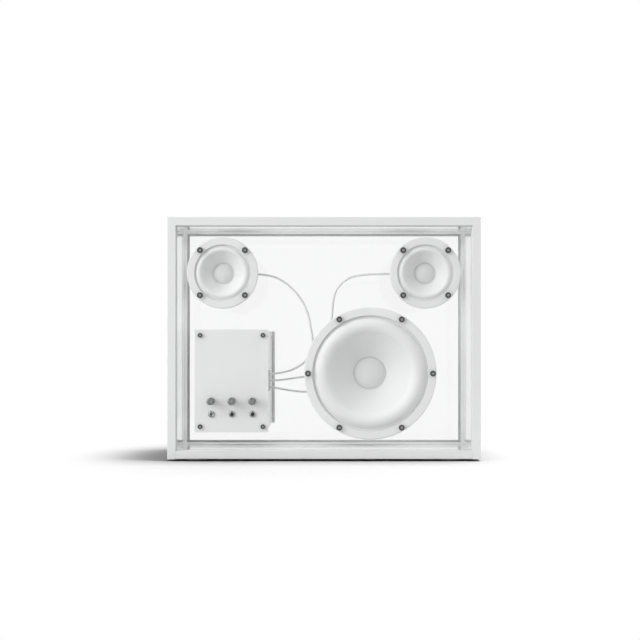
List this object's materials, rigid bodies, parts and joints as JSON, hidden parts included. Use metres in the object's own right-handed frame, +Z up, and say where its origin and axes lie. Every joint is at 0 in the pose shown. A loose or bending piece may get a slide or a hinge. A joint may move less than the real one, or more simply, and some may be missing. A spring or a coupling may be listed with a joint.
{
  "type": "bluetooth speaker",
  "caption": "Active loudspeaker with clear front and rear panes in a white aluminium frame, a large and small cone drive units and an amplifier with slim knobs.",
  "frame": {"origin": "middle of the footprint, on the surface that the feet stand on", "axes": "+X to the right seen from the front, +Y from the front pane to the rear pane, +Z up"},
  "size_m": [0.376, 0.1828, 0.293],
  "materials": {
    "frame": "satin white anodised",
    "hardware": "satin",
    "pane": "clear, polished",
    "seal": "matte grey",
    "foot": "matte white",
    "black_screw": "satin",
    "basket": "matte white powder coat",
    "surround": "satin white",
    "cone": "fine matte white",
    "coil": "wound wire",
    "spider": "impregnated cloth",
    "magnet": "matte ferrite",
    "plate": "zinc plated",
    "terminal": "matte",
    "panel": "bead blasted, anodised",
    "housing": "satin anodised extrusion",
    "back_panel": "dark anodised",
    "board": "solder mask",
    "knob": "turned, satin",
    "socket": "nickel plated",
    "button": "dark satin",
    "inlet": "matte",
    "lead": "flexible jacket"
  },
  "bodies": {
    "cabinet": {"frame_left": "frame", "frame_right": "frame", "frame_top": "frame", "frame_bottom": "frame", "corner_screws": "hardware", "front_pane": "pane", "rear_pane": "pane", "glazing_seals": "seal", "feet": "foot", "driver_screws": "black_screw", "driver_nuts": "hardware", "driver_gaskets": "seal", "driver_terminals": "terminal", "large_basket": "basket", "large_top_plate": "plate", "large_magnet": "magnet", "large_yoke": "plate", "left_basket": "basket", "left_top_plate": "plate", "left_magnet": "magnet", "left_yoke": "plate", "right_basket": "basket", "right_top_plate": "plate", "right_magnet": "magnet", "right_yoke": "plate", "amp_panel": "panel", "amp_housing": "housing", "amp_back_panel": "back_panel", "panel_screws": "black_screw", "control_board": "board", "amp_board": "board", "supply_board": "board", "aux_jack": "socket", "button_switches": "socket", "terminal_block": "terminal", "mains_inlet": "inlet", "lead_left": "lead", "lead_right": "lead", "lead_large": "lead"},
    "large_cone_body": {"large_cone": "cone", "large_dust_cap": "cone", "large_voice_coil": "coil", "large_surround": "surround", "large_spider": "spider"},
    "left_cone_body": {"left_cone": "cone", "left_dust_cap": "cone", "left_voice_coil": "coil", "left_surround": "surround", "left_spider": "spider"},
    "right_cone_body": {"right_cone": "cone", "right_dust_cap": "cone", "right_voice_coil": "coil", "right_surround": "surround", "right_spider": "spider"},
    "volume_knob_body": {"volume_knob": "knob"},
    "bass_knob_body": {"bass_knob": "knob"},
    "treble_knob_body": {"treble_knob": "knob"},
    "pair_button_body": {"pair_button": "button"},
    "power_button_body": {"power_button": "button"}
  },
  "joints": [
    {"name": "large_cone_slide", "type": "slide", "parent": "cabinet", "child": "large_cone_body", "axis": [0, -1, 0], "range_m": [-0.005, 0.005], "stiffness_N_per_m": 1000, "deforming": ["large_surround", "large_spider"]},
    {"name": "left_cone_slide", "type": "slide", "parent": "cabinet", "child": "left_cone_body", "axis": [0, -1, 0], "range_m": [-0.0025, 0.0025], "stiffness_N_per_m": 700, "deforming": ["left_surround", "left_spider"]},
    {"name": "right_cone_slide", "type": "slide", "parent": "cabinet", "child": "right_cone_body", "axis": [0, -1, 0], "range_m": [-0.0025, 0.0025], "stiffness_N_per_m": 700, "deforming": ["right_surround", "right_spider"]},
    {"name": "volume_knob_turn", "type": "hinge", "parent": "cabinet", "child": "volume_knob_body", "pos_m": [-0.1351, -0.07295, 0.07235], "axis": [0, 1, 0], "range_deg": [-150, 150]},
    {"name": "bass_knob_turn", "type": "hinge", "parent": "cabinet", "child": "bass_knob_body", "pos_m": [-0.1104, -0.07295, 0.07235], "axis": [0, 1, 0], "range_deg": [-150, 150]},
    {"name": "treble_knob_turn", "type": "hinge", "parent": "cabinet", "child": "treble_knob_body", "pos_m": [-0.0857, -0.07295, 0.07235], "axis": [0, 1, 0], "range_deg": [-150, 150]},
    {"name": "pair_button_press", "type": "slide", "parent": "cabinet", "child": "pair_button_body", "axis": [0, 1, 0], "range_m": [0, 0.0008], "stiffness_N_per_m": 600},
    {"name": "power_button_press", "type": "slide", "parent": "cabinet", "child": "power_button_body", "axis": [0, 1, 0], "range_m": [0, 0.0008], "stiffness_N_per_m": 600}
  ]
}
